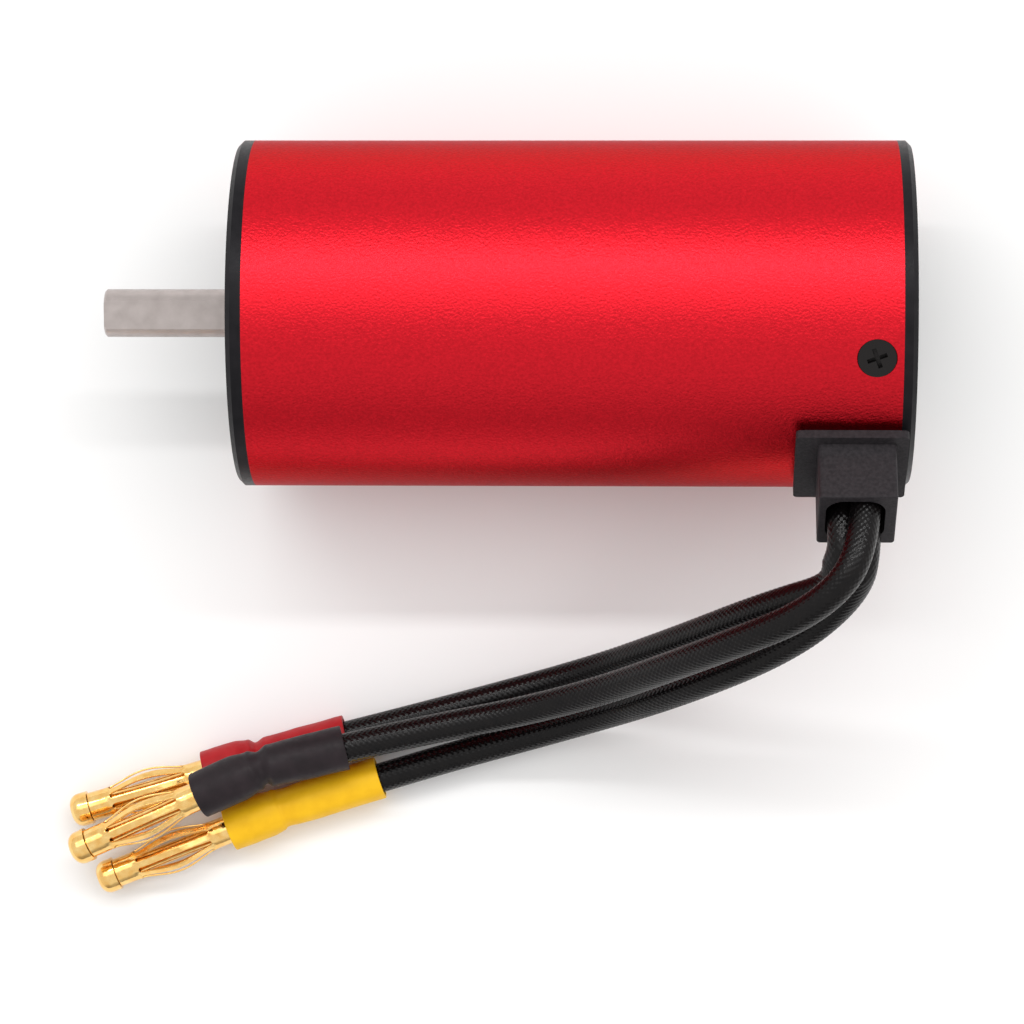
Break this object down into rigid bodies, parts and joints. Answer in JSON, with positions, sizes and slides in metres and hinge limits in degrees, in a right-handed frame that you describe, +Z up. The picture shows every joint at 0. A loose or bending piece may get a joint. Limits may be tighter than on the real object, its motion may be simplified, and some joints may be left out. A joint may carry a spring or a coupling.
{
  "type": "brushless inrunner motor",
  "caption": "Cylindrical brushless inrunner motor with a red can, black end rings, a flatted output shaft and braided leads from a side cable block to gold bullet plugs.",
  "frame": {"origin": "centre of the front mounting face, on the shaft axis", "axes": "+X out along the output shaft; +Z up, away from the surface the motor lies on; the cable block and leads are on the +Y side"},
  "size_m": [0.0896, 0.0801, 0.0362],
  "materials": {
    "red_anodised": "satin red anodised, fine bead-blasted grain",
    "black_anodised": "satin black anodised",
    "black_steel": "black oxide",
    "bearing_steel": "polished",
    "spring_steel": "plain",
    "electrical_steel": "stamped laminations",
    "ground_steel": "ground",
    "magnet": "nickel plated",
    "ring_brass": "turned",
    "copper": "enamelled copper",
    "white_plastic": "moulded",
    "black_moulded": "fine textured",
    "aluminium": "turned",
    "braid": "woven monofilament braid over silicone",
    "shrink_red": "satin heat-shrink",
    "shrink_black": "satin heat-shrink",
    "shrink_yellow": "satin heat-shrink",
    "gold": "gold plated"
  },
  "bodies": {
    "housing": {"can": "red_anodised", "front_end_bell": "black_anodised", "rear_end_bell": "black_anodised", "rear_end_screws": "black_steel", "front_bearing_outer_ring": "bearing_steel", "front_bearing_shields": "bearing_steel", "rear_bearing_outer_ring": "bearing_steel", "rear_bearing_shields": "bearing_steel", "wave_washer": "spring_steel", "stator_core": "electrical_steel", "front_insulator": "white_plastic", "rear_insulator": "white_plastic", "winding_a": "copper", "winding_b": "copper", "winding_c": "copper", "slot_wedges": "white_plastic", "star_point_bus": "copper", "phase_tail_a": "copper", "phase_tail_b": "copper", "phase_tail_c": "copper", "cable_grommet": "black_moulded", "lead_red": "braid", "conductor_red": "copper", "shrink_red": "shrink_red", "plug_pin_red": "gold", "plug_spring_red": "gold", "lead_black": "braid", "conductor_black": "copper", "shrink_black": "shrink_black", "plug_pin_black": "gold", "plug_spring_black": "gold", "lead_yellow": "braid", "conductor_yellow": "copper", "shrink_yellow": "shrink_yellow", "plug_pin_yellow": "gold", "plug_spring_yellow": "gold"},
    "rotor": {"shaft": "ground_steel", "shaft_clip": "spring_steel", "rotor_core": "bearing_steel", "rotor_magnets": "magnet", "rotor_sleeve": "spring_steel", "front_balance_ring": "ring_brass", "rear_balance_ring": "ring_brass", "front_spacer": "aluminium", "rear_spacer": "aluminium", "front_bearing_inner_ring": "bearing_steel", "rear_bearing_inner_ring": "bearing_steel"},
    "front_cage": {"front_bearing_balls": "bearing_steel", "front_bearing_cage": "bearing_steel"},
    "rear_cage": {"rear_bearing_balls": "bearing_steel", "rear_bearing_cage": "bearing_steel"}
  },
  "joints": [
    {"name": "rotor_spin", "type": "hinge", "parent": "housing", "child": "rotor", "pos_m": [0, 0, 0], "axis": [1, 0, 0], "continuous": true},
    {"name": "front_cage_spin", "type": "hinge", "parent": "housing", "child": "front_cage", "pos_m": [-0.00402, 0, 0], "axis": [1, 0, 0], "continuous": true},
    {"name": "rear_cage_spin", "type": "hinge", "parent": "housing", "child": "rear_cage", "pos_m": [-0.0652, 0, 0], "axis": [1, 0, 0], "continuous": true}
  ],
  "couplings": [
    {"joint": "front_cage_spin", "follows": "rotor_spin", "ratio": 0.3889},
    {"joint": "rear_cage_spin", "follows": "rotor_spin", "ratio": 0.3889}
  ]
}
